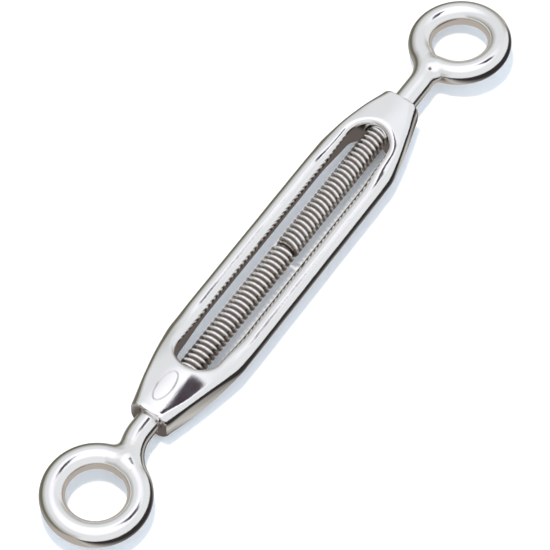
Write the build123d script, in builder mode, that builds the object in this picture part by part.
from build123d import *
import math
import os

os.makedirs("parts", exist_ok=True)

# Open-frame turnbuckle, eye and eye.
# X runs along the screws, Y across the two legs, Z up through the window.
# The origin is the middle of the frame, on the screw axis.

# ---- screws ----
thread_d = 6.0  # crest diameter of both threads, and the rod they are cut on
bore_gap = 0.05  # radial running gap between a crest and its tapped hole
tip_chamfer = 0.6  # lead-in on each screw's inner end
tip_gap = 0.5  # left between the two screw tips when fully closed
meet_x = 2.2  # where the right-hand screw's tip stands when fully closed

# ---- eyes ----
eye_r = 10.0  # radius of the bent rod's centre line
butt_angle = 17.0  # where the rod's cut end stops, in degrees from the screw axis
rh_reach = 22.3  # right-hand eye's centre from its end face of the frame, fully closed
rh_eye_off = 1.3  # that eye's shift towards the side the rod leaves the neck on
rh_neck_r = 12.0  # centre-line radius of that neck's bend
lh_reach = 25.1  # the same three sizes of the left-hand eye
lh_eye_off = -1.6
lh_neck_r = 11.0
lh_turn = -7.5  # turn of the left-hand eye about the screw axis, degrees

# ---- weld beads ----
weld_crown = 0.5  # height of each bead over the rod
weld_back = 6.0  # how far past the rod's cut end a bead is centred, degrees

# ---- frame ----
frame_len = 107.8  # over the two end faces
rh_boss_len = 14.9  # solid length of the right-hand boss, end face to window
lh_boss_len = 10.5  # the same of the left-hand boss
end_w = 5.1  # half width of a boss at its end face
end_h = 4.8  # half thickness there
end_corner = 2.8  # rounding of its section there
end_break = 0.5  # broken edge of the end face
throat_at = 0.62  # where a boss is thickest, as a part of its taper from the end face
throat_h = 5.2  # half thickness there
throat_corner = 2.2  # rounding of its section there
leg_r = 2.6  # the legs are round bars
leg_y = 8.0  # leg centre line from the screw axis
rh_taper = 21.0  # from the right-hand end face to where the taper reaches full width
lh_taper = 18.8  # the same on the left-hand side
shoulder_h = 4.1  # half thickness there
shoulder_corner = 2.5  # rounding of its section there
root_len = 9.0  # over which a leg thins from the shoulder to round
window_trim = 0.15  # how far the window's sides trim the round legs
rim_round = 1.3  # rounding of the window's rim at the bosses
mouth_sink = 0.7  # countersink at each end face

# ---- worked out ----
rod_r = thread_d / 2
bore_r = rod_r + bore_gap
half_len = frame_len / 2
rh_eye_x = half_len + rh_reach
lh_eye_x = half_len + lh_reach
window_len = frame_len - rh_boss_len - lh_boss_len
window_mid = (rh_boss_len - lh_boss_len) / 2
full_w = leg_y + leg_r
throat_w = end_w + (full_w - end_w) * throat_at  # on the straight taper
window_w = 2 * (leg_y - leg_r + window_trim)
flat_left = 0.02  # straight left between the arcs of an all-round section

# ---- frame: two tapered bosses joined by two round legs ----
# Sections from an end face inwards, each as station, half width, half thickness and corner rounding.
def boss_sections(taper):
    face = (half_len, end_w - end_break, end_h - end_break, end_corner - end_break / 2)
    edge = (half_len - end_break, end_w, end_h, end_corner)
    throat = (half_len - throat_at * taper, throat_w, throat_h, throat_corner)
    shoulder = (half_len - taper, full_w, shoulder_h, shoulder_corner)
    return (face, edge), (edge, throat), (throat, shoulder)


# Easing of the window's rim, each as height over the mid plane and growth of the window.
rim_foot = (throat_h - rim_round, 0)
rim_bend = (throat_h - rim_round / 3, rim_round / 3)
rim_top = (throat_h + rim_round, rim_round * 2.2)

with BuildPart() as frame:
    for side, taper in ((-1, rh_taper), (1, lh_taper)):
        for outer, inner in boss_sections(taper):
            for station, half_w, half_h, corner in (outer, inner):
                with BuildSketch(Plane.YZ.offset(side * station)):
                    RectangleRounded(2 * half_w, 2 * half_h, corner)
            loft(ruled=True)
        # Each leg thins from a tall oval to round.
        for leg in (-leg_y, leg_y):
            for inset, half_h in ((taper, shoulder_h), (taper + root_len, leg_r)):
                with BuildSketch(Plane.YZ.offset(side * (half_len - inset))):
                    with Locations((leg, 0)):
                        RectangleRounded(2 * leg_r, 2 * half_h, leg_r - flat_left)
            loft(ruled=True)
    # Round legs.
    with BuildSketch(Plane.YZ.offset(rh_taper + root_len - half_len)):
        with Locations((-leg_y, 0), (leg_y, 0)):
            Circle(leg_r)
    extrude(amount=frame_len - rh_taper - lh_taper - 2 * root_len)
    # Window between the legs, with round ends.
    with BuildSketch(Plane.XY):
        with Locations((window_mid, 0)):
            SlotOverall(window_len, window_w)
    extrude(amount=2 * throat_h, both=True, mode=Mode.SUBTRACT)
    # Rim of the window eased where it cuts the two bosses, steep first and then flatter.
    for up in (-1, 1):
        for low, high in ((rim_foot, rim_bend), (rim_bend, rim_top)):
            for height, growth in (low, high):
                with BuildSketch(Plane.XY.offset(up * height)):
                    with Locations((window_mid, 0)):
                        SlotOverall(window_len + 2 * growth, window_w + 2 * growth)
            loft(ruled=True, mode=Mode.SUBTRACT)
    # Tapped holes, drawn at the crest of the screws' threads.
    with BuildSketch(Plane.YZ.offset(-half_len)):
        Circle(bore_r)
    extrude(amount=frame_len, mode=Mode.SUBTRACT)
    # Countersunk mouths.
    mouths = []
    for edge in frame.edges().filter_by(GeomType.CIRCLE):
        if abs(edge.radius - bore_r) < 0.001 and abs(abs(edge.center().X) - half_len) < 0.001:
            mouths.append(edge)
    chamfer(mouths, length=mouth_sink)
frame.part.label = "frame"
export_step(frame.part, "parts/frame.step")


# ---- eye screws: each is one rod, with a straight shank, a bent neck and an eye ----
# Both are drawn with the eye towards +X and the neck leaning to +Y, then turned into place.
def eye_rod(eye_x, off, neck_r, tip_x):
    bend_x = eye_x - math.sqrt((eye_r + neck_r) ** 2 - (neck_r - off) ** 2)
    lean = math.degrees(math.atan2(neck_r - off, eye_x - bend_x))
    with BuildPart() as rod:
        with BuildLine(Plane.XY):
            Line((tip_x, 0), (bend_x, 0))
            CenterArc((bend_x, neck_r), neck_r, -90, 90 - lean)
            CenterArc((eye_x, off), eye_r, 180 - lean, -(360 - lean - butt_angle))
        with BuildSketch(Plane.YZ.offset(tip_x)):
            Circle(rod_r)
        sweep()
        chamfer(rod.edges().group_by(Axis.X)[0], length=tip_chamfer)
    return rod.part


def eye_weld(eye_x, off, rod):
    # A ball of weld in the gap between the rod's cut end and the neck.
    back = math.radians(butt_angle - weld_back)
    ball_x = eye_x - eye_r * math.cos(back)
    ball_y = off - eye_r * math.sin(back)
    with BuildPart() as bead:
        with Locations((ball_x, ball_y, 0)):
            Sphere(rod_r + weld_crown)
        add(rod, mode=Mode.SUBTRACT)
    return bead.part


def place(shape, side):
    # The right-hand screw's eye lies towards -X, the left-hand one's towards +X.
    if side < 0:
        return Rot(0, 0, 180) * shape
    return Rot(lh_turn, 0, 0) * shape


rh_rod = eye_rod(rh_eye_x, rh_eye_off, rh_neck_r, -meet_x)
lh_rod = eye_rod(lh_eye_x, lh_eye_off, lh_neck_r, meet_x + tip_gap)
pieces = {
    "rh_eye_screw": place(rh_rod, -1),
    "rh_eye_weld": place(eye_weld(rh_eye_x, rh_eye_off, rh_rod), -1),
    "lh_eye_screw": place(lh_rod, 1),
    "lh_eye_weld": place(eye_weld(lh_eye_x, lh_eye_off, lh_rod), 1),
}
for name, piece in pieces.items():
    piece.label = name
    export_step(piece, f"parts/{name}.step")
